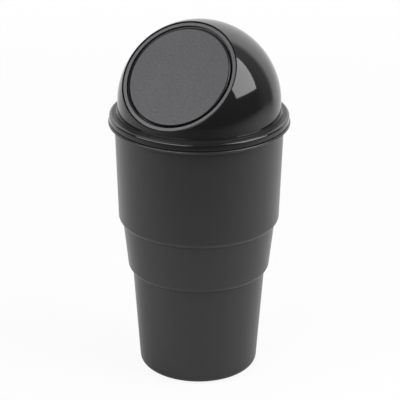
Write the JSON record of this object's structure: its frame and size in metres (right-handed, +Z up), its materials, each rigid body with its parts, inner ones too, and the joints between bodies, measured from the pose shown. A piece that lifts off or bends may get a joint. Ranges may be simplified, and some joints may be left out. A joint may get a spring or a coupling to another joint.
{
  "type": "cup holder trash bin",
  "caption": "Small waste bin for a car's cup holder: stepped tapered cup, pull-off glossy dome lid, and a round sprung flap in a satin ring, set at an angle in the dome, that swings inwards.",
  "frame": {"origin": "centre of the foot ring, on the surface that the cup stands on", "axes": "+Z up along the cup's axis, -Y towards the side that the flap faces, +X along the flap's hinge pin"},
  "size_m": [0.0882, 0.0882, 0.1785],
  "materials": {
    "cup_plastic": "satin black moulded polypropylene",
    "lid_plastic": "polished black moulded plastic",
    "frame_plastic": "satin dark grey moulded plastic",
    "flap_plastic": "fine spark-eroded grain, dark grey",
    "steel": "drawn wire and ground pin"
  },
  "bodies": {
    "cup": {"cup_body": "cup_plastic"},
    "lid": {"dome_lid": "lid_plastic", "flap_frame": "frame_plastic", "hinge_pin": "steel", "flap_spring": "steel"},
    "flap": {"flap_disc": "flap_plastic"}
  },
  "joints": [
    {"name": "lid_lift", "type": "slide", "parent": "cup", "child": "lid", "axis": [0, 0, 1], "range_m": [0, 0.05]},
    {"name": "flap_hinge", "type": "hinge", "parent": "lid", "child": "flap", "pos_m": [0, 0.00437, 0.17152], "axis": [1, 0, 0], "range_deg": [0, 80], "stiffness_Nm_per_rad": 0.0175, "springref_deg": -20.05, "deforming": ["flap_spring"]}
  ]
}
